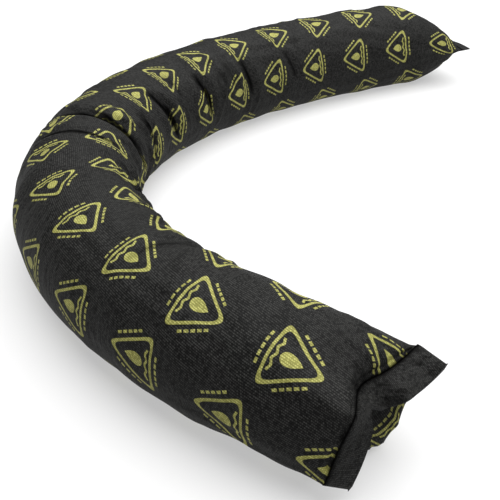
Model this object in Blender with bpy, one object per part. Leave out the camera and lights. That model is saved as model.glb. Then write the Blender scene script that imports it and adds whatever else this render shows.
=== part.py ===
"""Flood sock: one long tube of woven cloth, filled, sewn flat across both ends and laid in a hook.

Metres and degrees, +Z up.  The sock rests on z = 0, and the origin is the middle of its box's base.
Along the sock, distance runs from the near end to the far end.  Round the sock, an angle is counted
from the top line: positive over the outer side of the hook, negative over the inner side.
"""

import math

import bmesh
import bpy
import numpy as np

# ---- driving sizes ----
TUBE_RADIUS = 0.066
SETTLING = 0.92                         # the filling settles, so the section sits a little low
SIDE_SPREAD = 1.03                      # and spreads a little sideways
NEAR_TAPER = 0.0035                     # the tube is this much thinner at its near end
TAPER_LENGTH = 0.45                     # over this length
HEM_LENGTH = 0.028                      # the flat hem past each sewn seam
HEM_THICKNESS = 0.0024                  # two layers of cloth, turned and sewn

# ---- how the sock lies: a start, a heading and a turn over each stretch ----
START = (0.0637, -0.5179)
START_HEADING = 148.5
STRETCH = 0.135
TURNS = (-5, -12, -19, -21, -20, -15, -13, -9, -6, -7)
TURN_BLEND = 0.10                       # length over which one turn runs into the next
LENGTH = STRETCH * len(TURNS)           # where the far seam is
NEAR_SEAM_AT = 0.038                    # and where the near one is

# ---- main creases: a trough across the tube from one angle to another ----
# distance at start, start angle, distance at end, end angle, depth, width
CREASES = (
    (0.253, 30, 0.236, -60, 0.004, 0.012),
    (0.420, -50, 0.430, -115, 0.006, 0.013),
    (0.475, -45, 0.480, -120, 0.007, 0.013),
    (0.540, 48, 0.520, -45, 0.006, 0.012),
    (0.592, 35, 0.580, -100, 0.011, 0.014),
    (0.645, -40, 0.650, -115, 0.006, 0.013),
    (0.706, -25, 0.734, -105, 0.009, 0.014),
    (0.815, -35, 0.828, -100, 0.008, 0.014),
    (0.919, -35, 0.924, -95, 0.006, 0.013),
    (1.008, -40, 1.022, -90, 0.005, 0.013),
)

# ---- the sewn ends ----
# One row for each place along a seam, seen from outside the end.  Columns: share of the seam
# (-1 outer corner, 1 inner corner); its place across, up and out; which way the hem points across,
# up and out; the lengths over which the upper and the lower cloth open out; how far the lower cloth
# swells out, and how low it does so (1 is level with the seam, and 6 is near the floor).
NEAR_SEAM = (
    (-1.00, -0.060, 0.026, -0.003, 0.72, -0.56, 0.41, 0.060, 0.030, 0.000, 6.0),
    (-0.55, -0.049, 0.059, 0.003, 0.88, -0.01, 0.47, 0.085, 0.030, 0.000, 6.0),
    (-0.25, -0.041, 0.084, 0.009, 0.89, -0.42, 0.05, 0.095, 0.018, 0.006, 6.0),
    (0.00, -0.007, 0.077, -0.005, 0.42, -0.65, 0.63, 0.095, 0.012, 0.020, 5.0),
    (0.45, 0.026, 0.079, 0.005, -0.31, -0.33, 0.89, 0.095, 0.012, 0.026, 2.6),
    (0.75, 0.050, 0.079, 0.009, -0.31, -0.41, 0.86, 0.090, 0.018, 0.024, 1.3),
    (1.00, 0.065, 0.082, 0.012, -0.18, -0.18, 0.97, 0.080, 0.034, 0.010, 1.3),
)
FAR_SEAM = (
    (-1.0, -0.072, 0.048, 0.008, -0.05, -0.10, 1.00, 0.092, 0.048, 0.000, 6.0),
    (-0.5, -0.036, 0.052, 0.008, 0.00, -0.05, 1.00, 0.092, 0.040, 0.006, 6.0),
    (0.0, 0.000, 0.057, 0.005, 0.00, 0.00, 1.00, 0.092, 0.038, 0.006, 6.0),
    (0.5, 0.036, 0.060, 0.005, 0.00, 0.00, 1.00, 0.092, 0.034, 0.006, 6.0),
    (1.0, 0.068, 0.056, 0.007, 0.05, 0.10, 1.00, 0.090, 0.032, 0.000, 6.0),
)
# the corners' angles say how far the seam is turned about the tube
NEAR_END = {"seam": NEAR_SEAM, "distance": NEAR_SEAM_AT, "outward": -1.0, "corners": (-76.0, 118.0)}
FAR_END = {"seam": FAR_SEAM, "distance": LENGTH, "outward": 1.0, "corners": (-92.0, 97.0)}
TWIST_LENGTH = 0.25                     # length over which the cloth turns back to level corners

# ---- mesh ----
RING_POINTS = 36                        # point 0 is below; a quarter and three quarters are corners
SECTION_STEP = 0.0125
END_STATIONS = (0.0, 0.002, 0.004, 0.007, 0.010, 0.014, 0.019, 0.026, 0.036, 0.050, 0.066, 0.084, 0.100)

CLOTH_COLOUR = (0.026, 0.027, 0.025, 1.0)


POINT = np.arange(RING_POINTS)
QUARTERS = RING_POINTS * np.array([0.0, 0.25, 0.5, 0.75, 1.0])
SHARE = np.interp(POINT, QUARTERS, (0.0, 1.0, 0.0, -1.0, 0.0))
IS_CORNER = np.abs(SHARE) > 0.999
IS_UPPER = (POINT >= QUARTERS[1]) & (POINT <= QUARTERS[3])
HEIGHT = 0.5 - 0.5 * np.cos(2.0 * math.pi * POINT / RING_POINTS)


def centreline(distance):
    """Place and heading (radians) of the tube's middle line at each distance from the near end."""
    step = 0.002
    fine = np.arange(-TURN_BLEND, LENGTH + TURN_BLEND + step, step)
    joints = STRETCH * np.arange(len(TURNS) + 1)
    headings = np.radians(START_HEADING + np.concatenate([[0.0], np.cumsum(TURNS)]))
    sharp = np.interp(fine, joints, headings)
    window = int(round(TURN_BLEND / step))
    padded = np.concatenate([np.full(window, sharp[0]), sharp, np.full(window, sharp[-1])])
    soft = np.convolve(padded, np.ones(window) / window, "same")[window:-window]
    travel_x = np.concatenate([[0.0], np.cumsum(np.cos(soft[:-1]) * step)])
    travel_y = np.concatenate([[0.0], np.cumsum(np.sin(soft[:-1]) * step)])
    x = np.interp(distance, fine, travel_x) - np.interp(0.0, fine, travel_x) + START[0]
    y = np.interp(distance, fine, travel_y) - np.interp(0.0, fine, travel_y) + START[1]
    return x, y, np.interp(distance, fine, soft)


def crease_depth(distance, angles):
    """How far the creases draw the cloth in at this distance, for each angle in degrees."""
    total = np.zeros(len(angles))
    for start, start_angle, end, end_angle, depth, width in CREASES:
        share = (angles - start_angle) / (end_angle - start_angle)
        middle = start + (end - start) * share
        reach = np.clip(1.0 - (2.0 * share - 1.0) ** 4, 0.0, 1.0)
        total += depth * reach * np.exp(-((distance - middle) / width) ** 2)
    return total


def section(distance, angles):
    """The filled tube's section: across (positive to the inner side) and up, for each angle."""
    turn = np.radians(angles)
    full_radius = TUBE_RADIUS - NEAR_TAPER * max(1.0 - distance / TAPER_LENGTH, 0.0)
    radius = full_radius - crease_depth(distance, angles)
    across = -SIDE_SPREAD * radius * np.sin(turn)
    up = np.maximum(SETTLING * full_radius + radius * np.cos(turn), 0.0)
    return across, up


def smooth_rows(rows, share):
    """Read a table's columns at a share of its first column, on a smooth curve through its rows."""
    table = np.array(rows)
    slopes = np.gradient(table[:, 1:], table[:, 0], axis=0)
    index = np.clip(np.searchsorted(table[:, 0], share) - 1, 0, len(table) - 2)
    gap = (table[index + 1, 0] - table[index, 0])[:, None]
    t = ((share - table[index, 0])[:, None]) / gap
    before, after = table[index, 1:], table[index + 1, 1:]
    return (
        before * (1 + 2 * t) * (1 - t) ** 2
        + slopes[index] * gap * t * (1 - t) ** 2
        + after * t * t * (3 - 2 * t)
        + slopes[index + 1] * gap * t * t * (t - 1)
    )


def place_ring(ring, distance, outward):
    """Turn a ring's across, up and out into the model's x, y and z."""
    x, y, heading = (float(value) for value in centreline(distance))
    inner_side = np.array([math.sin(heading), -math.cos(heading), 0.0])
    outwards = outward * np.array([math.cos(heading), math.sin(heading), 0.0])
    up = np.array([0.0, 0.0, 1.0])
    return np.array([x, y, 0.0]) + ring[:, :1] * inner_side + ring[:, 1:2] * up + ring[:, 2:] * outwards


def unit(vectors):
    return vectors / np.linalg.norm(vectors, axis=1)[:, None]


def ring_angles(distance):
    """Each ring point's angle: the corners sit level along the sock and are turned at its ends."""
    inner, outer = -90.0, 90.0
    for end in (NEAR_END, FAR_END):
        away = min(abs(distance - end["distance"]) / TWIST_LENGTH, 1.0)
        turned = 0.5 + 0.5 * math.cos(math.pi * away)
        inner += turned * (end["corners"][0] + 90.0)
        outer += turned * (end["corners"][1] - 90.0)
    below = 0.5 * (inner + outer) - 180.0
    anchors = (below, inner, 0.5 * (inner + outer), outer, below + 360.0)
    return np.interp(POINT, QUARTERS, anchors)


def body_ring(distance):
    """The filled tube's ring at a distance."""
    across, up = section(distance, ring_angles(distance))
    return place_ring(np.stack([across, up, np.zeros(RING_POINTS)], axis=1), distance, 1.0)


def seam_ring(end, past_seam):
    """The ring of the flat hem, a distance past the seam line, with its two layers' thickness."""
    values = smooth_rows(end["seam"], SHARE)
    place, way = values[:, :3], unit(values[:, 3:6])
    nudge = 0.01
    ahead = smooth_rows(end["seam"], np.minimum(SHARE + nudge, 1.0))[:, :3]
    behind = smooth_rows(end["seam"], np.maximum(SHARE - nudge, -1.0))[:, :3]
    face = unit(np.cross(way, unit(ahead - behind)))
    layer = np.where(IS_UPPER, 0.5, -0.5) * HEM_THICKNESS
    layer = np.where(IS_CORNER, 0.0, layer)
    ring = place + way * past_seam + face * layer[:, None]
    return place_ring(ring, end["distance"], end["outward"])


def pillow_ring(end, inside):
    """A ring some way inside the seam, where the flat seam opens out into the filled section."""
    body = body_ring(end["distance"] - end["outward"] * inside)
    seam = seam_ring(end, 0.0)
    upper_length, lower_length, swell, lowness = smooth_rows(end["seam"], SHARE)[:, 6:].T
    reach = lower_length + (upper_length - lower_length) * HEIGHT
    open_share = np.sin(0.5 * math.pi * np.clip(inside / reach, 0.0, 1.0))[:, None]
    heading = float(centreline(end["distance"])[2])
    outwards = end["outward"] * np.array([math.cos(heading), math.sin(heading), 0.0])
    bulge = (swell * (1.0 - HEIGHT))[:, None] * np.sin(math.pi * open_share ** lowness[:, None])
    ring = seam + (body - seam) * open_share + bulge * outwards
    ring[:, 2] = np.maximum(ring[:, 2], 0.0)
    return ring


def sock_rings():
    """All the rings, from the near hem's edge to the far hem's edge."""
    first = NEAR_SEAM_AT + END_STATIONS[-1] + SECTION_STEP
    last = LENGTH - END_STATIONS[-1] - SECTION_STEP
    steps = int(round((last - first) / SECTION_STEP))
    rings = [seam_ring(NEAR_END, HEM_LENGTH)]
    rings += [pillow_ring(NEAR_END, inside) for inside in END_STATIONS]
    rings += [body_ring(distance) for distance in np.linspace(first, last, steps + 1)]
    rings += [pillow_ring(FAR_END, inside) for inside in reversed(END_STATIONS)]
    rings.append(seam_ring(FAR_END, HEM_LENGTH))
    return rings


def close_hem(mesh, ring):
    """Close a hem's edge by joining each point of its upper layer to the one below it."""
    half = RING_POINTS // 2
    for step in range(-half // 2, half // 2):
        upper, next_upper = ring[half + step], ring[half + step + 1]
        lower, next_lower = ring[-step % RING_POINTS], ring[(-step - 1) % RING_POINTS]
        corners = dict.fromkeys([upper, next_upper, next_lower, lower])
        mesh.faces.new(list(corners))


def cloth_material():
    material = bpy.data.materials.new("black_woven_cloth")
    material.use_nodes = True
    shader = material.node_tree.nodes["Principled BSDF"]
    shader.inputs["Base Color"].default_value = CLOTH_COLOUR
    shader.inputs["Roughness"].default_value = 0.8
    shader.inputs["Metallic"].default_value = 0.0
    return material


def build_sock():
    """One closed filled solid, with both hems part of its cloth."""
    mesh = bmesh.new()
    rings = [[mesh.verts.new(point) for point in ring] for ring in sock_rings()]
    for ring, following in zip(rings, rings[1:]):
        for index in range(RING_POINTS):
            after = (index + 1) % RING_POINTS
            mesh.faces.new([ring[index], ring[after], following[after], following[index]])
    close_hem(mesh, rings[0])
    close_hem(mesh, rings[-1])
    bmesh.ops.triangulate(mesh, faces=mesh.faces[:])
    bmesh.ops.recalc_face_normals(mesh, faces=mesh.faces[:])
    data = bpy.data.meshes.new("sock")
    mesh.to_mesh(data)
    mesh.free()
    data.shade_smooth()
    data.materials.append(cloth_material())
    sock = bpy.data.objects.new("sock", data)
    bpy.context.scene.collection.objects.link(sock)
    return sock


for old in list(bpy.data.objects):
    bpy.data.objects.remove(old, do_unlink=True)

build_sock()
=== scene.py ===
# %% [markdown]
# # A flood sock
# A flood sock is a long tube of woven cloth with a loose filling that soaks up water.  It is laid
# along a doorstep or round a leak, and it takes the curve that it is dropped in.  This lesson
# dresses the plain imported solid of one: its cloth, folds, sewn ends, weave and print.
#
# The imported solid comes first, because its size and place rule all that follows.

# %% Load the frame
import math

import bpy
import numpy as np
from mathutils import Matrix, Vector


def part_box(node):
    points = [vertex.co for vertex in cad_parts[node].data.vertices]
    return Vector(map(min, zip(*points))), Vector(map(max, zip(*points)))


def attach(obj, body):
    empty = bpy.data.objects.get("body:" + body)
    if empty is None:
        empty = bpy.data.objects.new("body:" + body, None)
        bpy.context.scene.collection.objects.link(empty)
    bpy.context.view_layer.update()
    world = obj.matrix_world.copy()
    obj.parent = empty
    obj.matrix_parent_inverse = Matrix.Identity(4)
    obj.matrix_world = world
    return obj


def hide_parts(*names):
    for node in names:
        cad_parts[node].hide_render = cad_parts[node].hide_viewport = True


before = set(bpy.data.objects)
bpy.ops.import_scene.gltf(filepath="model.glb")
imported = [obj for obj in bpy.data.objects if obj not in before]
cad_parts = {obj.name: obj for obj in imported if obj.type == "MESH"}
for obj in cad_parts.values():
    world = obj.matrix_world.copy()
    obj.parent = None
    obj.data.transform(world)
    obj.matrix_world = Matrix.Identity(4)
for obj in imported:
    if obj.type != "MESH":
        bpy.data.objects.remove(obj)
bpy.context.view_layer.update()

sock_low, sock_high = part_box("sock")
print("packed sock:", [round(high - low, 3) for low, high in zip(sock_low, sock_high)], "m")

# %% [markdown]
# ## The camera
# A long object that curves towards the viewer changes its look with the lens as much as with the
# angle, so the camera comes before any shaping.  It stands low in front of the near end and looks
# down at it, with a lens slightly longer than the eye's own view.

# %% Camera
CAMERA_ASIDE = -0.0548                  # from the middle of the sock's box
CAMERA_BACK = 0.443                     # in front of the box
CAMERA_HEIGHT = 0.475
CAMERA_PITCH = 29.8                     # degrees below level
CAMERA_LENS = 61.2                      # on a sensor 36 mm wide

scene = bpy.context.scene
camera_data = bpy.data.cameras.new("camera")
camera_data.lens = CAMERA_LENS
camera = bpy.data.objects.new("camera", camera_data)
scene.collection.objects.link(camera)
middle_x = 0.5 * (sock_low[0] + sock_high[0])
camera.location = (middle_x + CAMERA_ASIDE, sock_low[1] - CAMERA_BACK, CAMERA_HEIGHT)
camera.rotation_euler = (math.radians(90.0 - CAMERA_PITCH), 0.0, 0.0)
scene.camera = camera
print("camera at", [round(value, 3) for value in camera.location])

# %% [markdown]
# ## How the sock lies
# The sock is a tube swept along a line on the floor.  A short table of turns, one for each stretch
# of equal length, says how the line bends, and the turns are blended so that no corner shows.  It
# could also be a Bezier curve, but turns over lengths keep the tube's true length in view.

# %% The line that the sock follows
TUBE_RADIUS = 0.066
SETTLING = 0.92                         # the filling settles, so the section sits a little low
SIDE_SPREAD = 1.03                      # and spreads a little sideways
NEAR_TAPER = 0.0035                     # the radius is this much less at the near end
TAPER_LENGTH = 0.45                     # over this length
START = (0.0637, -0.5179)               # where the line starts on the floor, at the near end
START_HEADING = 148.5                   # degrees
STRETCH = 0.135                         # length of each stretch
TURNS = (-5, -12, -19, -21, -20, -15, -13, -9, -6, -7)  # degrees in each stretch
TURN_BLEND = 0.10                       # the turns are blended over this length
LENGTH = STRETCH * len(TURNS)           # the far seam is at this distance
NEAR_SEAM_AT = 0.038                    # and the near seam at this one


def follow_line():
    """Fine samples of the line: distance, x, y, heading and how sharply it bends."""
    step = 0.002
    fine = np.arange(-TURN_BLEND, LENGTH + TURN_BLEND + step, step)
    joints = STRETCH * np.arange(len(TURNS) + 1)
    headings = np.radians(START_HEADING + np.concatenate([[0.0], np.cumsum(TURNS)]))
    sharp = np.interp(fine, joints, headings)
    window = int(round(TURN_BLEND / step))
    padded = np.concatenate([np.full(window, sharp[0]), sharp, np.full(window, sharp[-1])])
    soft = np.convolve(padded, np.ones(window) / window, "same")[window:-window]
    x = np.concatenate([[0.0], np.cumsum(np.cos(soft[:-1]) * step)])
    y = np.concatenate([[0.0], np.cumsum(np.sin(soft[:-1]) * step)])
    x += START[0] - np.interp(0.0, fine, x)
    y += START[1] - np.interp(0.0, fine, y)
    return fine, x, y, soft, np.abs(np.gradient(soft, step))


LINE = follow_line()


def centreline(distance):
    """Place and heading (radians) of the tube's middle line at a distance."""
    fine, x, y, heading, _ = LINE
    return tuple(float(np.interp(distance, fine, values)) for values in (x, y, heading))


print("the line runs", round(LENGTH, 3), "m and turns", -sum(TURNS), "degrees")

# %% [markdown]
# ## The filled section and its creases
# Across the tube the filling makes a circle that has settled flat on the floor.  Where the sock
# bends, the outer side stays smooth and tight, and the inner side has cloth to spare.  That cloth
# gathers into troughs that run across the tube and die out over the top.  The main troughs are
# listed one by one, because they are what the eye reads first.

# %% Creases and section
# distance at start, start angle, distance at end, end angle, depth, width.  An angle is counted
# from the top line: positive over the outer side of the hook, negative over the inner side.
MAIN_CREASES = (
    (0.257, 34, 0.236, -60, 0.0032, 0.0065),
    (0.420, -50, 0.430, -115, 0.005, 0.008),
    (0.475, -45, 0.480, -120, 0.006, 0.008),
    (0.542, 50, 0.524, -50, 0.0065, 0.0065),
    (0.594, 30, 0.578, -92, 0.0115, 0.0085),
    (0.645, -40, 0.650, -115, 0.005, 0.008),
    (0.703, -30, 0.736, -105, 0.0095, 0.0085),
    (0.757, -22, 0.764, -62, 0.0025, 0.006),
    (0.815, -38, 0.828, -100, 0.0085, 0.0085),
    (0.884, -40, 0.890, -80, 0.003, 0.006),
    (0.919, -38, 0.924, -95, 0.0065, 0.008),
    (1.008, -45, 1.022, -90, 0.005, 0.008),
)


VALLEY_POWER = 1.6
SHOULDER_HEIGHT, SHOULDER_AWAY, SHOULDER_WIDTH = 0.22, 2.3, 1.1      # in depths and widths


def trough(offset, width):
    """A crease's depth across it: a narrow valley between two soft shoulders."""
    away = np.abs(offset) / width
    shoulder = SHOULDER_HEIGHT * np.exp(-((away - SHOULDER_AWAY) / SHOULDER_WIDTH) ** 2)
    return np.exp(-away ** VALLEY_POWER) - shoulder


def crease_depth(distance, angles, creases):
    """How far the creases draw the cloth in, for arrays of distances and angles in degrees."""
    pulled = np.zeros(np.broadcast(distance, angles).shape)
    for start, start_angle, end, end_angle, depth, width in creases:
        share = (angles - start_angle) / (end_angle - start_angle)
        middle = start + (end - start) * share
        reach = np.clip(1.0 - (2.0 * share - 1.0) ** 4, 0.0, 1.0)
        pulled += depth * reach * trough(distance - middle, width)
    return pulled


def section(distance, angles):
    """The filled tube's section: across (positive to the inner side) and up, for each angle."""
    turn = np.radians(angles)
    full_radius = TUBE_RADIUS - NEAR_TAPER * max(1.0 - distance / TAPER_LENGTH, 0.0)
    radius = full_radius - crease_depth(distance, angles, MAIN_CREASES)
    across = -SIDE_SPREAD * radius * np.sin(turn)
    up = np.maximum(SETTLING * full_radius + radius * np.cos(turn), 0.0)
    return across, up


print(len(MAIN_CREASES), "main creases, the deepest", 1000 * max(row[4] for row in MAIN_CREASES), "mm")

# %% [markdown]
# ## The sewn ends
# Each end of the tube is pressed flat and sewn straight across, like a pillow's end, and the cloth
# past the seam is a short flat hem.  A row of each table is one place along the seam: where it lies
# on the end, which way the hem points there, and over what lengths the upper and the lower cloth
# open out into the round tube.  The near seam stands nearly upright on one side, where its hem folds
# over the end's face, is tucked in at the middle, and lies level on the other side.  The far seam is
# straighter, and its hem is half as long.

# %% Seam tables
# share of the seam (-1 outer corner, 1 inner corner); its place across, up and out; which way the
# hem points across, up and out; opening lengths of the upper and the lower cloth; how far the lower
# cloth swells out, and how low it does so; how many times thicker the hem is
NEAR_SEAM = (
    (-1.00, -0.060, 0.026, -0.003, 0.72, -0.56, 0.41, 0.060, 0.030, 0.000, 6.0, 1.3),
    (-0.55, -0.049, 0.059, 0.003, 0.88, -0.01, 0.47, 0.085, 0.030, 0.000, 6.0, 1.3),
    (-0.25, -0.041, 0.084, 0.009, 0.89, -0.42, 0.05, 0.095, 0.018, 0.006, 6.0, 1.3),
    (0.00, -0.007, 0.077, -0.005, 0.42, -0.65, 0.63, 0.095, 0.012, 0.020, 5.0, 1.0),
    (0.45, 0.026, 0.079, 0.005, -0.31, -0.33, 0.89, 0.095, 0.012, 0.026, 2.6, 1.0),
    (0.75, 0.050, 0.079, 0.009, -0.31, -0.41, 0.86, 0.090, 0.018, 0.024, 1.3, 1.4),
    (1.00, 0.065, 0.082, 0.012, -0.18, -0.18, 0.97, 0.080, 0.034, 0.010, 1.3, 2.6),
)
FAR_SEAM = (
    (-1.0, -0.072, 0.048, 0.017, -0.05, -0.10, 1.00, 0.090, 0.060, 0.000, 6.0, 1.0),
    (-0.5, -0.036, 0.052, 0.018, 0.00, -0.05, 1.00, 0.090, 0.062, 0.000, 6.0, 1.0),
    (0.0, 0.000, 0.057, 0.018, 0.00, 0.00, 1.00, 0.090, 0.066, 0.000, 6.0, 1.0),
    (0.5, 0.036, 0.060, 0.019, 0.00, 0.00, 1.00, 0.086, 0.070, 0.000, 6.0, 1.0),
    (1.0, 0.066, 0.057, 0.021, 0.05, 0.10, 1.00, 0.080, 0.070, 0.000, 6.0, 1.0),
)
# outward: which way along the line is out of the tube; slimness: how slowly the lower and the upper
# cloth open, where 1 is a quarter wave and less is fuller; hem: the share of the hem's length that
# shows; corners: the section's angles that run into the seam's inner and outer corners
NEAR_END = {
    "seam": NEAR_SEAM,
    "distance": NEAR_SEAM_AT,
    "outward": -1.0,
    "slimness": (1.0, 1.0),
    "hem": 1.0,
    "corners": (-76.0, 118.0),
}
FAR_END = {
    "seam": FAR_SEAM,
    "distance": LENGTH,
    "outward": 1.0,
    "slimness": (0.33, 1.3),
    "hem": 0.50,
    "corners": (-92.0, 97.0),
}
TWIST_LENGTH = 0.25                     # the corners' angles even out over this length


def smooth_rows(rows, share):
    """Read a table's columns at a share of its first column, on a smooth curve through its rows."""
    table = np.array(rows)
    slopes = np.gradient(table[:, 1:], table[:, 0], axis=0)
    index = np.clip(np.searchsorted(table[:, 0], share) - 1, 0, len(table) - 2)
    gap = (table[index + 1, 0] - table[index, 0])[:, None]
    part = ((share - table[index, 0])[:, None]) / gap
    before, after = table[index, 1:], table[index + 1, 1:]
    return (
        before * (1 + 2 * part) * (1 - part) ** 2
        + slopes[index] * gap * part * (1 - part) ** 2
        + after * part * part * (3 - 2 * part)
        + slopes[index + 1] * gap * part * part * (part - 1)
    )


print("seam tables:", len(NEAR_SEAM), "places on the near seam and", len(FAR_SEAM), "on the far one")

# %% [markdown]
# ## From rings to cloth
# The cloth is built as rings of points, ring after ring along the sock.  Point 0 of each ring is
# below, and a quarter and three quarters of the way round are the corners of the sewn ends.  A grid
# like this beats a remeshed lump here, because every point keeps its place on the flat cloth, and
# the print and the weave need that.

# %% Ring helpers
RING_POINTS = 80
POINT = np.arange(RING_POINTS)
QUARTERS = RING_POINTS * np.array([0.0, 0.25, 0.5, 0.75, 1.0])
SHARE = np.interp(POINT, QUARTERS, (0.0, 1.0, 0.0, -1.0, 0.0))     # along the seam, as in its table
IS_CORNER = np.abs(SHARE) > 0.999
IS_UPPER = (POINT >= QUARTERS[1]) & (POINT <= QUARTERS[3])
HEIGHT = 0.5 - 0.5 * np.cos(2.0 * math.pi * POINT / RING_POINTS)   # 0 below and 1 on top
UP = np.array([0.0, 0.0, 1.0])


def unit(vectors):
    """Each row at length 1."""
    return vectors / np.linalg.norm(vectors, axis=1)[:, None]


def axes_at(distance, outward):
    """The middle line's point on the floor, and the inner side's and the outward directions."""
    x, y, heading = centreline(distance)
    inner_side = np.array([math.sin(heading), -math.cos(heading), 0.0])
    outwards = outward * np.array([math.cos(heading), math.sin(heading), 0.0])
    return np.array([x, y, 0.0]), inner_side, outwards


def place_ring(ring, distance, outward):
    """Turn a ring's across, up and out into x, y and z."""
    point, inner_side, outwards = axes_at(distance, outward)
    return point + ring[:, :1] * inner_side + ring[:, 1:2] * UP + ring[:, 2:] * outwards


def ring_angles(distance):
    """Each ring point's angle: the corners sit level along the sock and are turned at its ends."""
    inner, outer = -90.0, 90.0
    for end in (NEAR_END, FAR_END):
        away = min(abs(distance - end["distance"]) / TWIST_LENGTH, 1.0)
        turned = 0.5 + 0.5 * math.cos(math.pi * away)
        inner += turned * (end["corners"][0] + 90.0)
        outer += turned * (end["corners"][1] - 90.0)
    top = 0.5 * (inner + outer)
    below = top - 180.0
    return np.interp(POINT, QUARTERS, (below, inner, top, outer, below + 360.0))


def body_ring(distance):
    """The filled tube's ring at a distance."""
    across, up = section(distance, ring_angles(distance))
    return place_ring(np.stack([across, up, np.zeros(RING_POINTS)], axis=1), distance, 1.0)


# %% [markdown]
# The hem is two layers of cloth, turned in and sewn.  It is thin where the stitches pull it
# together, and thicker at its turned edge.  Inside the seam the cloth opens like a pillow's end: each
# ring is a blend of the flat seam and the filled section, and the blend grows along a part of a
# wave, because filled cloth leaves its seam steeply and then levels out.

# %% Hem and pillow end
HEM_LENGTH = 0.028
HEM_PROFILE = (                         # past the seam, thickness
    (0.0, 0.0012),
    (0.004, 0.0030),
    (0.008, 0.0026),
    (0.022, 0.0028),
    (0.026, 0.0036),
    (HEM_LENGTH, 0.0024),
)
SEAM_NUDGE = 0.01                       # share of the seam over which its run is measured
SLIMNESS_RISE = 1.5                     # how late, going up the ring, the upper slimness takes over


def seam_ring(end, past_seam):
    """The ring of the flat hem, a distance past the seam line, with its two layers' thickness."""
    values = smooth_rows(end["seam"], SHARE)
    place, way = values[:, :3], unit(values[:, 3:6])
    ahead = smooth_rows(end["seam"], np.minimum(SHARE + SEAM_NUDGE, 1.0))[:, :3]
    behind = smooth_rows(end["seam"], np.maximum(SHARE - SEAM_NUDGE, -1.0))[:, :3]
    face = unit(np.cross(way, unit(ahead - behind)))
    thickness = np.interp(past_seam, *zip(*HEM_PROFILE)) * values[:, 10]
    layer = np.where(IS_UPPER, 0.5, -0.5) * thickness
    layer = np.where(IS_CORNER, 0.0, layer)
    ring = place + way * past_seam * end["hem"] + face * layer[:, None]
    return place_ring(ring, end["distance"], end["outward"])


def pillow_ring(end, inside):
    """A ring some way inside the seam, where the flat seam opens out into the filled section."""
    body = body_ring(end["distance"] - end["outward"] * inside)
    seam = seam_ring(end, 0.0)
    upper_length, lower_length, swell, lowness = smooth_rows(end["seam"], SHARE)[:, 6:10].T
    reach = lower_length + (upper_length - lower_length) * HEIGHT
    below, above = end["slimness"]
    slimness = below + (above - below) * HEIGHT ** SLIMNESS_RISE
    open_share = (np.sin(0.5 * math.pi * np.clip(inside / reach, 0.0, 1.0)) ** slimness)[:, None]
    outwards = axes_at(end["distance"], end["outward"])[2]
    bulge = (swell * (1.0 - HEIGHT))[:, None] * np.sin(math.pi * open_share ** lowness[:, None])
    ring = seam + (body - seam) * open_share + bulge * outwards
    ring[:, 2] = np.maximum(ring[:, 2], 0.0)
    return ring


hem_lengths = [round(1000 * HEM_LENGTH * end["hem"]) for end in (NEAR_END, FAR_END)]
print("the near and the far hem reach", hem_lengths, "mm past their seams")

# %% [markdown]
# The rings stand closest at the seams, where the cloth bends most, and evenly along the tube.

# %% All rings
HEM_STATIONS = (HEM_LENGTH, 0.0265, 0.022, 0.016, 0.011, 0.007, 0.004, 0.002)     # past a seam
END_STATIONS = np.concatenate([         # inside a seam
    (0.0, 0.001, 0.0022, 0.0036, 0.0052, 0.007, 0.009, 0.0113, 0.014, 0.017, 0.0205),
    np.arange(0.0245, 0.1005, 0.005),
])
RING_GAP = 0.0047                       # between the rings of the tube itself


def all_rings():
    """Every ring's points, with the distance of each along the sock."""
    first = NEAR_SEAM_AT + END_STATIONS[-1] + RING_GAP
    last = LENGTH - END_STATIONS[-1] - RING_GAP
    body = np.linspace(first, last, int(round((last - first) / RING_GAP)) + 1)
    rings = [(seam_ring(NEAR_END, past), NEAR_SEAM_AT - past) for past in HEM_STATIONS]
    rings += [(pillow_ring(NEAR_END, inside), NEAR_SEAM_AT + inside) for inside in END_STATIONS]
    rings += [(body_ring(distance), distance) for distance in body]
    rings += [(pillow_ring(FAR_END, inside), LENGTH - inside) for inside in END_STATIONS[::-1]]
    rings += [(seam_ring(FAR_END, past), LENGTH + past) for past in HEM_STATIONS[::-1]]
    return np.array([ring for ring, _ in rings]), np.array([distance for _, distance in rings])


points, distances = all_rings()
angles = np.array([ring_angles(distance) for distance in distances])
print(len(points), "rings of", RING_POINTS, "points")

# %% [markdown]
# ## The flat cloth's own measure
# A print is made on flat cloth, before the tube is sewn and bent.  So each point gets its place on
# the flat cloth: how far along, and how far round.  On a bend the outer side of the tube keeps its
# true length, and the inner side holds the same cloth gathered up, so all points of a ring share
# one distance along the cloth, measured on the outer side.  At the ends each line of points is
# followed on its own.

# %% Cloth lengths
GIRTH = 2.0 * math.pi * TUBE_RADIUS
CLOTH_TWIST = -38.0                     # degrees that the cloth turns about its filling, end to end


def cloth_along(points, distances):
    """Each point's distance along the flat cloth."""
    fine, _, _, _, bend = LINE
    grown = np.concatenate([[0.0], np.cumsum((1.0 + bend * TUBE_RADIUS)[:-1] * np.diff(fine))])
    along = np.repeat(np.interp(distances, fine, grown)[:, None], RING_POINTS, axis=1)
    near = len(HEM_STATIONS) + len(END_STATIONS)
    steps = np.linalg.norm(np.diff(points, axis=0), axis=2)
    for ring in range(near - 1, -1, -1):
        along[ring] = along[ring + 1] - steps[ring]
    for ring in range(len(points) - near, len(points)):
        along[ring] = along[ring - 1] + steps[ring - 1]
    return along


along = cloth_along(points, distances)
along_span = float(along[-1].max() - along[0].min())
outer = int(np.argmin(SHARE))           # the ring point at the outer corner
outer_length = float(along[-1, outer] - along[0, outer])
print("the cloth:", round(outer_length, 2), "m long on its outer side,", round(GIRTH, 3), "m round")

# %% [markdown]
# ## The mesh
# Quads join the rings, and a strip of faces closes each hem's edge.  The mesh carries the flat
# cloth's measure as a UV map in metres, and each point's distance, angle and nearness to the seam's
# corners for later steps.

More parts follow.
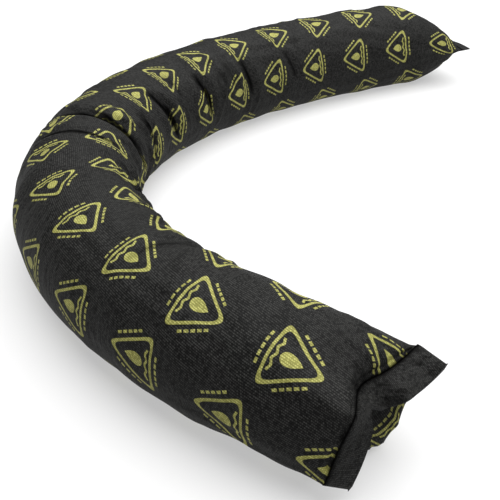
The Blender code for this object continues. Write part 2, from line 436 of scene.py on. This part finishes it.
# %% Build the cloth mesh
def cloth_uv(ring, point):
    """A grid point's place on the flat cloth, in metres."""
    index = point % RING_POINTS
    turned = CLOTH_TWIST / 360.0 * (along[ring, index] / along_span - 0.5)
    return along[ring, index], GIRTH * (point / RING_POINTS + turned)


def store(mesh, name, values):
    """Give each point a value under a name."""
    kept = mesh.attributes.new(name, "FLOAT", "POINT")
    kept.data.foreach_set("value", values.astype(np.float32))


def build_cloth():
    """One closed mesh object: quads between the rings, and a strip along each hem's edge."""
    rings_count = len(points)
    faces, uvs = [], []
    for ring in range(rings_count - 1):
        for point in range(RING_POINTS):
            corners = [(ring, point), (ring, point + 1), (ring + 1, point + 1), (ring + 1, point)]
            faces.append([r * RING_POINTS + p % RING_POINTS for r, p in corners])
            uvs.append([cloth_uv(r, p) for r, p in corners])
    half = RING_POINTS // 2
    for ring, turn in ((0, 1), (rings_count - 1, -1)):
        for step in range(-half // 2, half // 2):
            below = -step % RING_POINTS
            next_below = (-step - 1) % RING_POINTS
            corners = list(dict.fromkeys([half + step, half + step + 1, next_below, below]))[::turn]
            faces.append([ring * RING_POINTS + point for point in corners])
            uvs.append([cloth_uv(ring, point) for point in corners])
    mesh = bpy.data.meshes.new("sock_cloth")
    mesh.from_pydata(points.reshape(-1, 3).tolist(), [], faces)
    layer = mesh.uv_layers.new(name="cloth")
    flat_uvs = [value for face in uvs for pair in face for value in pair]
    layer.data.foreach_set("uv", np.array(flat_uvs, np.float32))
    store(mesh, "distance", np.repeat(distances, RING_POINTS))
    store(mesh, "angle", angles.ravel())
    store(mesh, "corner", np.tile(np.abs(SHARE), rings_count))
    mesh.shade_smooth()
    sock = bpy.data.objects.new("sock_cloth", mesh)
    scene.collection.objects.link(sock)
    return sock


sock = build_cloth()
print("cloth mesh:", len(sock.data.vertices), "points,", len(sock.data.polygons), "faces")

# %% [markdown]
# ## Settle the cloth on its filling
# Real cloth was cut straight and then forced round the bend, so its inner side has more length than
# it needs.  A short cloth simulation finds the soft ridges that this gives: the springs take their
# lengths from a second shape, in which the tube lies straight, and an even pressure stands for the
# filling.  The hems are held fast, and the rest is held loosely, or the tube would spring straight.

# %% The cloth before it was bent
EASE = 0.8                              # the share of the spare cloth that the springs know about


def cut_shape():
    """Where each point would be if the tube were laid straight, with the cloth's own length."""
    fine, _, _, _, bend = LINE
    grown = np.concatenate([[0.0], np.cumsum((1.0 + EASE * bend * TUBE_RADIUS)[:-1] * np.diff(fine))])
    flat = np.zeros_like(points)
    for ring, distance in enumerate(distances):
        nearest = float(np.clip(distance, NEAR_SEAM_AT, LENGTH))
        point, inner_side, ahead = axes_at(nearest, 1.0)
        local = points[ring] - point
        flat[ring, :, 0] = np.interp(nearest, fine, grown) + local @ ahead
        flat[ring, :, 1] = local @ inner_side
        flat[ring, :, 2] = local[:, 2]
    return flat.reshape(-1, 3)


# %% Cloth simulation
SETTLE_FRAMES = 20
LOOSE_HOLD = 0.165                      # weight of the hold on the tube, where a hem's is 1
HELD_LENGTH = 0.02                      # how far inside a seam the firm hold fades out
MOST_MOVED = 0.008                      # no point may move further than this
CLOTH_SETTINGS = {
    "quality": 5,
    "mass": 0.3,
    "tension_stiffness": 15.0,
    "compression_stiffness": 15.0,
    "shear_stiffness": 5.0,
    "bending_stiffness": 0.05,
    "air_damping": 2.0,
    "use_pressure": True,
    "uniform_pressure_force": 6.0,      # of the filling
    "pin_stiffness": 1.0,
}


def settle(sock):
    """Run the cloth simulation, and return the points where it leaves them and their moves."""
    sock.shape_key_add(name="bent")
    cut = sock.shape_key_add(name="cut")
    cut.data.foreach_set("co", cut_shape().astype(np.float32).ravel())
    cut.value = 0.0
    group = sock.vertex_groups.new(name="held")
    inside = np.minimum(distances - NEAR_SEAM_AT, LENGTH - distances)
    for ring, weight in enumerate(np.clip(1.0 - inside / HELD_LENGTH, LOOSE_HOLD, 1.0)):
        group.add(list(range(ring * RING_POINTS, (ring + 1) * RING_POINTS)), float(weight), "REPLACE")
    cloth = sock.modifiers.new("settle", "CLOTH")
    for setting, value in CLOTH_SETTINGS.items():
        setattr(cloth.settings, setting, value)
    cloth.settings.effector_weights.gravity = 0.0
    cloth.settings.vertex_group_mass = "held"
    cloth.settings.rest_shape_key = cut
    cloth.collision_settings.use_collision = False
    cloth.point_cache.frame_end = SETTLE_FRAMES
    for frame_number in range(1, SETTLE_FRAMES + 1):
        scene.frame_set(frame_number)
    settled = np.empty(3 * len(sock.data.vertices), np.float32)
    evaluated = sock.evaluated_get(bpy.context.evaluated_depsgraph_get())
    evaluated.data.vertices.foreach_get("co", settled)
    scene.frame_set(1)
    sock.modifiers.remove(cloth)
    sock.shape_key_clear()
    sock.vertex_groups.clear()
    start = points.reshape(-1, 3)
    move = settled.reshape(-1, 3) - start
    moved = np.linalg.norm(move, axis=1)
    move *= np.minimum(1.0, MOST_MOVED / np.maximum(moved, 1e-9))[:, None]
    return start + move, np.minimum(moved, MOST_MOVED)


settled = points.reshape(-1, 3)
settled, moved = settle(sock)
mean_move, most_move = [round(1000 * float(move), 2) for move in (moved.mean(), moved.max())]
print("settled: mean move", mean_move, "mm, most", most_move, "mm")

# %% [markdown]
# ## Fine wrinkles
# One subdivision makes the grid fine enough for small wrinkles.  There are too many of them to place
# by hand, so a seeded draw places them: sharp ones crowded inside the bend, where the spare cloth
# is, and faint ones over the whole length.  Each is a short shallow trough across the tube, like a
# small main crease.  The main creases also get a sharp bottom here, where the cloth folds on itself.

# %% Draw the wrinkles
WRINKLE_SEED = 7
SHARP_WRINKLES = 90
FAINT_WRINKLES = 80
# ranges of the first angle, of the degrees covered, of the slant, of the depth and of the width
SHARP_RANGES = ((-80, -10), (25, 60), (-0.012, 0.012), (0.0008, 0.0022), (0.0034, 0.0058))
FAINT_RANGES = ((-40, 90), (30, 70), (-0.02, 0.02), (0.0004, 0.0011), (0.0040, 0.0080))
SHARP_NEAR, SHARP_FAR = 0.2, 0.15       # no sharp wrinkles this near to the sock's two ends
FAINT_ENDS = 0.05                       # and no faint ones this near
BOTTOM_DEPTH, BOTTOM_WIDTH = 0.42, 0.48  # a sharp bottom's shares of its crease's depth and width


def wrinkle_row(draw, middle, ranges):
    """A row like those of the main creases' table, drawn from a kind of wrinkle's ranges."""
    first, reach, slant, depth, width = [draw.uniform(low, high) for low, high in ranges]
    return middle - slant, first, middle + slant, first - reach, depth, width


def draw_wrinkles():
    """Rows for all the small wrinkles."""
    draw = np.random.default_rng(WRINKLE_SEED)
    fine, _, _, _, bend = LINE
    bent = (fine > SHARP_NEAR) & (fine < LENGTH - SHARP_FAR)
    chance = np.where(bent, bend ** 2, 0.0)
    middles = draw.choice(fine, SHARP_WRINKLES, p=chance / chance.sum())
    rows = [wrinkle_row(draw, middle, SHARP_RANGES) for middle in middles]
    middles = draw.uniform(FAINT_ENDS, LENGTH - FAINT_ENDS, FAINT_WRINKLES)
    return rows + [wrinkle_row(draw, middle, FAINT_RANGES) for middle in middles]


SHARP_BOTTOMS = tuple(
    (start, start_angle, end, end_angle, BOTTOM_DEPTH * depth, BOTTOM_WIDTH * width)
    for start, start_angle, end, end_angle, depth, width in MAIN_CREASES
)
print(SHARP_WRINKLES + FAINT_WRINKLES, "small wrinkles")

# %% [markdown]
# The stitches pull a groove along each seam, the cloth beside it puffs up in a ridge, and small
# gathers run from the seam into the tube.  The loose filling also leaves the whole tube slightly
# uneven, which a sum of a few long waves gives.

# %% Seams and unevenness
GROOVE_DEPTH, GROOVE_WIDTH = 0.0004, 0.0015     # less deep than half the cloth that is sewn
RIDGE_HEIGHT, RIDGE_INSIDE, RIDGE_WIDTH = 0.0019, 0.0060, 0.0032
EDGE_HEIGHT, EDGE_PAST, EDGE_WIDTH = 0.0007, 0.0255, 0.0016      # the hem's turned edge
PUCKERS = ((0.35, 23.0, 0.0), (0.25, 37.0, 1.0))         # the ridge's waves: share, rate, start
GATHER_DEPTH, GATHER_START, GATHER_LENGTH = 0.0014, 0.006, 0.030
GATHER_RATE, GATHER_DRIFT = 19.0, 4.0   # gathers round the tube, and how unevenly they stand
CORNER_CALM = 0.18                      # share of the seam over which all this fades at its corners
UNEVEN_WAVES = 14
UNEVEN_WAVELENGTHS = (0.05, 0.16)       # along the tube
UNEVEN_ROUND = (1, 5)                   # waves round the tube, fewer than the second
UNEVEN_START = 6.3                      # about a full turn
UNEVEN_HEIGHTS = (0.00012, 0.00032)
UNEVEN_FADE = 0.05                      # the waves fade in over this length from each seam


def seam_relief(distance, angles, corner):
    """How far the seams' groove, ridge and gathers move the cloth inwards, away from the corners."""
    depth = np.zeros(len(distance))
    turn = np.radians(angles)
    pucker = np.ones(len(distance))
    for share, rate, start in PUCKERS:
        pucker += share * np.sin(rate * turn + start)
    gathers = np.sin(GATHER_RATE * turn + GATHER_DRIFT * np.sin(2.0 * turn))
    for seam_at, outward in ((NEAR_SEAM_AT, -1.0), (LENGTH, 1.0)):
        past = (distance - seam_at) * outward
        depth += GROOVE_DEPTH * np.exp(-(past / GROOVE_WIDTH) ** 2)
        depth -= RIDGE_HEIGHT * pucker * np.exp(-((past + RIDGE_INSIDE) / RIDGE_WIDTH) ** 2)
        depth -= EDGE_HEIGHT * np.exp(-((past - EDGE_PAST) / EDGE_WIDTH) ** 2)
        faded = gathers * np.exp(-np.maximum(-past, 0.0) / GATHER_LENGTH)
        grown = 1.0 - np.exp(np.minimum(past, 0.0) / GATHER_START)
        depth += np.where(past < 0.0, GATHER_DEPTH * faded * grown, 0.0)
    return depth * np.clip((1.0 - corner) / CORNER_CALM, 0.0, 1.0)


def unevenness(distance, angles):
    """A few long seeded waves, fading out at the seams."""
    draw = np.random.default_rng(WRINKLE_SEED + 1)
    depth = np.zeros(len(distance))
    turn = np.radians(angles)
    for _ in range(UNEVEN_WAVES):
        along_rate = 2.0 * math.pi / draw.uniform(*UNEVEN_WAVELENGTHS)
        round_rate = draw.integers(*UNEVEN_ROUND)
        height, start = draw.uniform(*UNEVEN_HEIGHTS), draw.uniform(0.0, UNEVEN_START)
        depth += height * np.sin(along_rate * distance + round_rate * turn + start)
    inside = np.minimum(distance - NEAR_SEAM_AT, LENGTH - distance)
    return depth * np.clip(inside / UNEVEN_FADE, 0.0, 1.0)


# %% Subdivide and wrinkle
def smooth_level(sock):
    """Apply one subdivision."""
    modifier = sock.modifiers.new("smooth", "SUBSURF")
    modifier.levels = 1
    modifier.render_levels = 1
    bpy.ops.object.select_all(action="DESELECT")
    bpy.context.view_layer.objects.active = sock
    sock.select_set(True)
    bpy.ops.object.modifier_apply(modifier=modifier.name)


def read(mesh, name):
    """The values that the points carry under a name."""
    values = np.empty(len(mesh.vertices), np.float32)
    mesh.attributes[name].data.foreach_get("value", values)
    return values.astype(float)


def press_in(sock, depth):
    """Move each point inwards along its normal, and keep it above the floor."""
    mesh = sock.data
    place = np.empty(3 * len(mesh.vertices), np.float32)
    mesh.vertices.foreach_get("co", place)
    normal = np.array([vertex.normal for vertex in mesh.vertices])
    place = place.reshape(-1, 3) - normal * depth[:, None]
    place[:, 2] = np.maximum(place[:, 2], 0.0)
    mesh.vertices.foreach_set("co", place.astype(np.float32).ravel())
    mesh.update()


sock.data.vertices.foreach_set("co", settled.astype(np.float32).ravel())
smooth_level(sock)
distance_read, angle_read = read(sock.data, "distance"), read(sock.data, "angle")
relief = seam_relief(distance_read, angle_read, read(sock.data, "corner"))
press_in(sock, unevenness(distance_read, angle_read) + relief)
small = crease_depth(distance_read, angle_read, draw_wrinkles())
sharp = small + crease_depth(distance_read, angle_read, SHARP_BOTTOMS)
press_in(sock, sharp)
print("finished cloth:", len(sock.data.vertices), "points,", 2 * len(sock.data.polygons), "triangles")

# %% [markdown]
# Little light reaches into a fold or along a seam.  The material paints that shade in, so each point
# gets its share of painted shade here, from the same depths that shaped it.

# %% Painted shade of the folds and seams
DARK_FOLD = 0.0060                      # a fold this deep is fully dark
SMALL_LESS = 0.4                        # small wrinkles are open, so this share of them stays light
SOFT_SHARE = 0.55                       # the share of a main crease's soft depth that counts
SEAM_DARK_WIDTH = 0.0030

soft = crease_depth(distance_read, angle_read, MAIN_CREASES)
from_seam = np.minimum(np.abs(distance_read - NEAR_SEAM_AT), np.abs(distance_read - LENGTH))
# painted shade: folds and seams darker, where little light reaches into them
painted_fold_shade = (sharp - SMALL_LESS * small + SOFT_SHARE * soft) / DARK_FOLD
dark = np.clip(painted_fold_shade + np.exp(-(from_seam / SEAM_DARK_WIDTH) ** 2), 0.0, 1.0)
# the "fold" point value holds this painted shade
store(sock.data, "fold", dark)
print("points in a dark fold or seam:", int((dark > 0.5).sum()))

# %% [markdown]
# ## Shader building blocks
# The cloth's finish is a node network.  It reads the UV map in metres, so every size below is a
# real one.  Small functions that add one node each keep a long network short to write and to read.

# %% Node helpers
def put(tree, value, target):
    """Link a node's output, or set a plain number, on a socket."""
    if hasattr(value, "links"):
        tree.links.new(value, target)
    else:
        target.default_value = value


def calc(tree, operation, *values, clamp=False):
    """A Math node's output, for outputs or numbers given in order."""
    node = tree.nodes.new("ShaderNodeMath")
    node.operation = operation
    node.use_clamp = clamp
    for value, target in zip(values, node.inputs):
        put(tree, value, target)
    return node.outputs[0]


def times(tree, first, second):
    """The product of two outputs or numbers."""
    return calc(tree, "MULTIPLY", first, second)


def minus(tree, first, second):
    """The first output or number less the second."""
    return calc(tree, "SUBTRACT", first, second)


def sum_of(tree, *values):
    """The sum of outputs or numbers."""
    result = values[0]
    for value in values[1:]:
        result = calc(tree, "ADD", result, value)
    return result


def within(tree, value, half_width, soft):
    """1 where the value lies inside plus or minus half_width, with a soft edge."""
    margin = minus(tree, half_width, calc(tree, "ABSOLUTE", value))
    return calc(tree, "MULTIPLY_ADD", margin, 1.0 / soft, 0.5, clamp=True)


def noise(tree, vector, scale, detail=2.0):
    """Soft noise of about 0 to 1, its lumps about 1 / scale across."""
    node = tree.nodes.new("ShaderNodeTexNoise")
    put(tree, vector, node.inputs["Vector"])
    node.inputs["Scale"].default_value = scale
    node.inputs["Detail"].default_value = detail
    return node.outputs["Fac"]


def point_value(tree, name):
    """The value that each point carries under a name."""
    node = tree.nodes.new("ShaderNodeAttribute")
    node.attribute_name = name
    return node.outputs["Fac"]


def blend_colour(tree, share, first, second):
    """A colour between two, for a share from 0 to 1."""
    node = tree.nodes.new("ShaderNodeMix")
    node.data_type = "RGBA"
    put(tree, share, node.inputs["Factor"])
    for value, name in ((first, "A"), (second, "B")):
        target = next(item for item in node.inputs if item.name == name and item.type == "RGBA")
        put(tree, value, target)
    return next(item for item in node.outputs if item.type == "RGBA")


# %% [markdown]
# ## The print
# The cloth is printed all over in yellow-green: rounded triangles, each with a water drop over a
# ripple, and a row of dashes along each side.  The rows stand half a step apart, and every other
# row points the other way.  Each shape is a distance worked out from the flat cloth's measure.

# %% Print nodes
PRINT_ROWS = 6
ROW_PITCH = GIRTH / PRINT_ROWS
MOTIF_PITCH = 0.092
MOTIF_DROP = 0.005                      # how far the triangle's middle sits below the motif's
TRIANGLE_INSIDE = 0.0155                # from the triangle's middle to each side's line
CORNER_ROUNDING = 0.012
LINE_WIDTH = 0.0026
PRINT_SOFT = 0.0004                     # softness of the ink's edge


def motif_axes(tree, along, round_):
    """Place inside a motif's own cell: sideways, and upwards along the cloth."""
    rows = calc(tree, "DIVIDE", round_, ROW_PITCH)
    odd = calc(tree, "FLOORED_MODULO", calc(tree, "FLOOR", rows), 2.0)
    sideways = times(tree, minus(tree, calc(tree, "FRACT", rows), 0.5), ROW_PITCH)
    steps = calc(tree, "MULTIPLY_ADD", odd, 0.5, calc(tree, "DIVIDE", along, MOTIF_PITCH))
    upwards = times(tree, minus(tree, calc(tree, "FRACT", steps), 0.5), MOTIF_PITCH)
    facing = calc(tree, "MULTIPLY_ADD", odd, -2.0, 1.0)
    upwards = times(tree, upwards, facing)
    return sideways, calc(tree, "ADD", upwards, MOTIF_DROP)


def side_axes(tree, sideways, upwards, degrees):
    """Distance out from one side of the triangle, and place along that side."""
    out_x, out_y = math.cos(math.radians(degrees)), math.sin(math.radians(degrees))
    out = sum_of(tree, times(tree, sideways, out_x), times(tree, upwards, out_y))
    run = sum_of(tree, times(tree, sideways, -out_y), times(tree, upwards, out_x))
    return minus(tree, out, TRIANGLE_INSIDE), run


def dashes(tree, out, run):
    """A row of plain dashes outside one side."""
    dash_out, dash_thick, dash_pitch, dash_long, row_half = 0.0062, 0.0024, 0.0060, 0.0042, 0.0150
    across = within(tree, minus(tree, out, dash_out), 0.5 * dash_thick, PRINT_SOFT)
    step = calc(tree, "FRACT", calc(tree, "MULTIPLY_ADD", run, 1.0 / dash_pitch, 0.5))
    offset = times(tree, minus(tree, step, 0.5), dash_pitch)
    mask = times(tree, across, within(tree, offset, 0.5 * dash_long, PRINT_SOFT))
    return times(tree, mask, within(tree, run, row_half, PRINT_SOFT))


def water_drop(tree, sideways, upwards):
    """A solid drop: round below, and drawn to a point above."""
    drop_low, drop_high, drop_width = -0.0065, 0.0135, 0.0158
    above = minus(tree, upwards, drop_low)
    share = calc(tree, "MULTIPLY", above, 1.0 / (drop_high - drop_low), clamp=True)
    taper = times(tree, calc(tree, "SQRT", share), minus(tree, 1.0, share))
    half_width = calc(tree, "MULTIPLY_ADD", taper, drop_width, -PRINT_SOFT)
    return within(tree, sideways, half_width, PRINT_SOFT)


def ripple(tree, sideways, upwards):
    """A wavy line under the drop."""
    ripple_at, ripple_wave, ripple_swing, ripple_half = -0.0105, 0.0095, 0.0009, 0.0145
    half_line = 0.45 * LINE_WIDTH
    wave = calc(tree, "COSINE", times(tree, sideways, 2.0 * math.pi / ripple_wave))
    offset = minus(tree, upwards, calc(tree, "MULTIPLY_ADD", wave, ripple_swing, ripple_at))
    line = within(tree, offset, half_line, PRINT_SOFT)
    return times(tree, line, within(tree, sideways, ripple_half, PRINT_SOFT))


def print_mask(tree, along, round_):
    """1 where the cloth is printed."""
    sideways, upwards = motif_axes(tree, along, round_)
    sides = [side_axes(tree, sideways, upwards, degrees) for degrees in (270.0, 30.0, 150.0)]
    shape = sides[0][0]
    for out, _ in sides[1:]:
        shape = calc(tree, "SMOOTH_MAX", shape, out, CORNER_ROUNDING)
    outline = within(tree, shape, 0.5 * LINE_WIDTH, PRINT_SOFT)
    parts = [outline, water_drop(tree, sideways, upwards), ripple(tree, sideways, upwards)]
    parts += [dashes(tree, out, run) for out, run in sides]
    return calc(tree, "MINIMUM", sum_of(tree, *parts), 1.0)


print("print:", PRINT_ROWS, "rows, with a motif every", 1000 * MOTIF_PITCH, "mm along")

# %% [markdown]
# ## The weave
# The cloth is a coarse black weave: thick threads run along the sock, and thinner ones cross them, so
# that each thick thread looks like a row of beads, half a step apart from the next row.  The crowns
# catch the light, and the gaps between the threads stay dark; that dark is painted shade, a darker
# colour in the gaps.  No two beads are alike in real cloth, so each one gets its own brightness by
# chance.  Without that, so fine and regular a pattern would also shimmer from a distance.

# %% Weave
RIBS_ROUND = 216                        # thick threads round the tube
RIB_PITCH = GIRTH / RIBS_ROUND
RIB_SLANT = 0.10                        # the thick threads slant a little round the tube
THREAD_PITCH = 0.0017                   # of the thin threads, along the tube
RIB_DEEP, THREAD_DEEP = 0.85, 0.60      # how deep the gaps are, beside and along a thick thread
BEAD_LEAST, BEAD_CHANCE = 0.25, 1.3     # a bead's least brightness, and how much chance adds
FUZZ_SCALE, FUZZ = 900.0, 0.35


def hump(tree, value, pitch):
    """A row of rounded humps, 0 in the gaps and 1 on the crowns."""
    wave = calc(tree, "COSINE", times(tree, value, 2.0 * math.pi / pitch))
    return calc(tree, "MULTIPLY_ADD", wave, 0.5, 0.5)


def weave(tree, along, round_, place):
    """How high each bead's crown stands: about 0 in the gaps, and 1 or more on a bright crown."""
    ribs = calc(tree, "DIVIDE", calc(tree, "MULTIPLY_ADD", along, RIB_SLANT, round_), RIB_PITCH)
    rib_number = calc(tree, "ROUND", ribs)
    threads = calc(tree, "MULTIPLY_ADD", rib_number, 0.5, calc(tree, "DIVIDE", along, THREAD_PITCH))
    cell = tree.nodes.new("ShaderNodeCombineXYZ")
    put(tree, rib_number, cell.inputs["X"])
    put(tree, calc(tree, "ROUND", threads), cell.inputs["Y"])
    chance = tree.nodes.new("ShaderNodeTexWhiteNoise")
    tree.links.new(cell.outputs["Vector"], chance.inputs["Vector"])
    across = calc(tree, "MULTIPLY_ADD", hump(tree, ribs, 1.0), RIB_DEEP, 1.0 - RIB_DEEP)
    lengthways = calc(tree, "MULTIPLY_ADD", hump(tree, threads, 1.0), THREAD_DEEP, 1.0 - THREAD_DEEP)
    bright = calc(tree, "MULTIPLY_ADD", chance.outputs["Value"], BEAD_CHANCE, BEAD_LEAST)
    crown = times(tree, times(tree, across, lengthways), bright)
    fuzz = noise(tree, place, FUZZ_SCALE)
    return calc(tree, "MULTIPLY_ADD", minus(tree, fuzz, 0.5), FUZZ, crown)


print("weave:", RIBS_ROUND, "thick threads,", round(1000 * RIB_PITCH, 2), "mm apart")

# %% [markdown]
# A deep crease in cloth closes at its bottom, where it lies in deep shade.  The mesh stays open
# there, because a grid this coarse would cross itself, so that shade is painted as a dark line,
# drawn from the same table as the creases.  It lies a little up the far wall, since a viewer in
# front sees that wall and not the bottom.

# %% Painted shade lines in the folds
FOLD_SHIFT = 0.38                       # how far the dark line lies up the far wall, for a depth
FOLD_LINE = 46.0                        # half width of a fold's dark line, for a depth squared
FOLD_SOFT = 0.0035                      # softness of the line's edges
FOLD_MIDDLE, FOLD_REACH, FOLD_ENDS = 0.58, 0.30, 0.28    # shares of the crease: its darkest part
FULLY_DARK = 0.005                      # creases from this depth on are fully dark
WANDER_SCALE, WANDER = 22.0, 0.008


def fold_shade_lines(tree, place):
    """Painted shade: dark narrow lines in the bottoms of the main creases, where the cloth folds on
    itself.
    """
    wander = calc(tree, "MULTIPLY_ADD", noise(tree, place, WANDER_SCALE), WANDER, -0.5 * WANDER)
    wandered = calc(tree, "ADD", point_value(tree, "distance"), wander)
    angle = point_value(tree, "angle")
    lines = []
    for start, start_angle, end, end_angle, depth, _ in MAIN_CREASES:
        turn = end_angle - start_angle
        share = calc(tree, "MULTIPLY_ADD", angle, 1.0 / turn, -start_angle / turn)
        middle = calc(tree, "MULTIPLY_ADD", share, end - start, start + FOLD_SHIFT * depth)
        offset = minus(tree, wandered, middle)
        # each main crease gets a painted shade line along its bottom
        line = within(tree, offset, FOLD_LINE * depth ** 2, FOLD_SOFT)
        reach = within(tree, minus(tree, share, FOLD_MIDDLE), FOLD_REACH, FOLD_ENDS)
        strength = times(tree, reach, min(depth / FULLY_DARK, 1.0))
        lines.append(times(tree, line, strength))
    return calc(tree, "MINIMUM", sum_of(tree, *lines), 1.0)


print("fold lines:", len(MAIN_CREASES))

# %% [markdown]
# ## The finished cloth material
# The parts meet here: ink over thread, painted shade of the folds and seams over both, and a bump
# for what is too fine to model.  The bump holds the beads of the weave, faint crumples round the
# tube, and the small creases of the hems, which are stiffer than the tube.  Folds also lose their
# gloss, or they would catch the lamp.

# %% Cloth material
INK_COLOUR = (0.475, 0.465, 0.150, 1.0)
INK_GAP_SHADE = (0.19, 0.185, 0.045, 1.0)   # painted shade of the ink in the gaps between the threads
THREAD_COLOUR = (0.033, 0.033, 0.031, 1.0)
# painted shade in the gaps between the threads
GAP_SHADE_COLOUR = (0.0015, 0.0015, 0.0015, 1.0)
# painted shade: the colour that folds and seams are darkened towards
FOLD_SHADE_COLOUR = (0.001, 0.001, 0.001, 1.0)
FOLD_SHADE_STRENGTH = 0.97                    # how far a full fold takes the cloth to its painted shade colour
COVER_SCALE, COVER, LEAST_COVER = 260.0, 0.5, 0.62       # the ink lies thinner in places
CLOTH_ROUGHNESS = 0.65
INK_SMOOTHER = 0.05                     # the ink is this much less rough
CLOTH_GLOSS = 0.08
RIB_HEIGHT = 0.00022
CRUMPLE_STRETCH = (110.0, 24.0, 1.0)    # the tube's crumples run round it, not along it
CRUMPLE = 0.0022
FOLD_SUNK = 0.0012
HEM_CRUMPLE_SCALE, HEM_CRUMPLE = 110.0, 0.0060
HEM_EDGE_SOFT = 0.001                   # softness of the line where the print stops at a seam


def between_seams(tree):
    """1 on the tube, and 0 on the hems, which are turned so that the plain back of the cloth shows."""
    half = 0.5 * (LENGTH - NEAR_SEAM_AT)
    from_middle = minus(tree, point_value(tree, "distance"), NEAR_SEAM_AT + half)
    return within(tree, from_middle, half, HEM_EDGE_SOFT)


def cloth_height(tree, measure, place, crown, tube, line):
    """The bump's height in metres: beads and crumples, sunk along the fold lines."""
    stretched = tree.nodes.new("ShaderNodeVectorMath")
    stretched.operation = "MULTIPLY"
    stretched.inputs[1].default_value = CRUMPLE_STRETCH
    tree.links.new(measure.outputs["UV"], stretched.inputs[0])
    crumple = times(tree, noise(tree, stretched.outputs["Vector"], 1.0, detail=4.0), CRUMPLE)
    crumple = calc(tree, "MULTIPLY_ADD", line, -FOLD_SUNK, crumple)
    on_hems = times(tree, minus(tree, 1.0, tube), HEM_CRUMPLE)
    creases = noise(tree, place, HEM_CRUMPLE_SCALE, detail=3.0)
    crumple = calc(tree, "MULTIPLY_ADD", creases, on_hems, crumple)
    return calc(tree, "MULTIPLY_ADD", crown, RIB_HEIGHT, crumple)


def cloth_material():
    """Black woven cloth with its print, folds, hems and bump."""
    material = bpy.data.materials.new("black_woven_cloth")
    material.use_nodes = True
    tree = material.node_tree
    shader = tree.nodes["Principled BSDF"]
    shader.inputs["Metallic"].default_value = 0.0
    measure = tree.nodes.new("ShaderNodeUVMap")
    measure.uv_map = "cloth"
    split = tree.nodes.new("ShaderNodeSeparateXYZ")
    tree.links.new(measure.outputs["UV"], split.inputs["Vector"])
    along, round_ = split.outputs["X"], split.outputs["Y"]
    place = tree.nodes.new("ShaderNodeTexCoord").outputs["Object"]

    crown = weave(tree, along, round_, place)
    tube = between_seams(tree)
    ink = times(tree, print_mask(tree, along, round_), tube)
    patches = noise(tree, place, COVER_SCALE, detail=3.0)
    ink = times(tree, ink, calc(tree, "MULTIPLY_ADD", patches, COVER, LEAST_COVER, clamp=True))
    # the gaps between the threads get painted shade, the crowns the cloth's or the ink's own colour
    bare = blend_colour(tree, crown, GAP_SHADE_COLOUR, THREAD_COLOUR)
    inked = blend_colour(tree, crown, INK_GAP_SHADE, INK_COLOUR)
    line = fold_shade_lines(tree, place)
    # painted shade of the folds and seams, taken into the base colour
    painted_fold_shade = calc(tree, "MAXIMUM", point_value(tree, "fold"), line)
    shade = times(tree, painted_fold_shade, FOLD_SHADE_STRENGTH)
    colour = blend_colour(tree, shade, blend_colour(tree, ink, bare, inked), FOLD_SHADE_COLOUR)
    tree.links.new(colour, shader.inputs["Base Color"])
    roughness = calc(tree, "MULTIPLY_ADD", ink, -INK_SMOOTHER, CLOTH_ROUGHNESS)
    tree.links.new(roughness, shader.inputs["Roughness"])
    gloss = calc(tree, "MULTIPLY_ADD", shade, -CLOTH_GLOSS, CLOTH_GLOSS)
    tree.links.new(gloss, shader.inputs["Specular IOR Level"])

    bump = tree.nodes.new("ShaderNodeBump")
    for name in ("Strength", "Distance"):
        bump.inputs[name].default_value = 1.0
    height = cloth_height(tree, measure, place, crown, tube, line)
    tree.links.new(height, bump.inputs["Height"])
    tree.links.new(bump.outputs["Normal"], shader.inputs["Normal"])
    return material


sock.data.materials.append(cloth_material())
print("cloth material:", len(sock.data.materials[0].node_tree.nodes), "nodes")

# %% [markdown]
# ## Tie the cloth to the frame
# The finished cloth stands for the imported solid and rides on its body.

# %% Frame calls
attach(sock, "root")
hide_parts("sock")
print(sock.name, "stands for the packed sock")

# %% [markdown]
# ## Floor and light
# A plain pale floor and soft light keep the eye on the cloth.  One broad lamp hangs almost straight
# above the sock, so its shadow is short and soft.  The floor also glows a little, as a bright studio
# floor does, and that keeps the shadow pale.

# %% Floor
FLOOR_SIZE = 12.0
FLOOR_DROP = 0.0003                     # just below the cloth, so that the two don't flicker
WHITE = (1.0, 1.0, 1.0, 1.0)
FLOOR_FINISH = {
    "Base Color": (0.35, 0.35, 0.35, 1.0),
    "Roughness": 0.9,
    "Specular IOR Level": 0.1,
    "Emission Color": WHITE,
    "Emission Strength": 0.485,
}

bpy.ops.mesh.primitive_plane_add(size=FLOOR_SIZE, location=(0.0, 0.0, -FLOOR_DROP))
floor = bpy.context.object
floor.name = "floor"
floor_material = bpy.data.materials.new("pale_floor")
floor_material.use_nodes = True
floor_shader = floor_material.node_tree.nodes["Principled BSDF"]
for name, value in FLOOR_FINISH.items():
    floor_shader.inputs[name].default_value = value
floor.data.materials.append(floor_material)
print("floor:", FLOOR_SIZE, "m square")

# %% Light
LAMP_PLACE = (0.3, 0.25, 2.1)
LAMP_SIZE = 3.6
LAMP_POWER = 184.0
WORLD_GLOW = 0.08

lamp_data = bpy.data.lights.new("key", "AREA")
lamp_data.energy = LAMP_POWER
lamp_data.size = LAMP_SIZE
lamp = bpy.data.objects.new("key", lamp_data)
scene.collection.objects.link(lamp)
lamp.location = LAMP_PLACE
lamp.rotation_euler = (-lamp.location).to_track_quat("-Z", "Y").to_euler()
world = bpy.data.worlds.new("studio")
scene.world = world
world.use_nodes = True
background = world.node_tree.nodes["Background"]
background.inputs["Color"].default_value = WHITE
background.inputs["Strength"].default_value = WORLD_GLOW
scene.view_settings.view_transform = "Standard"
print("lamp:", LAMP_SIZE, "m wide,", LAMP_PLACE[2], "m up")
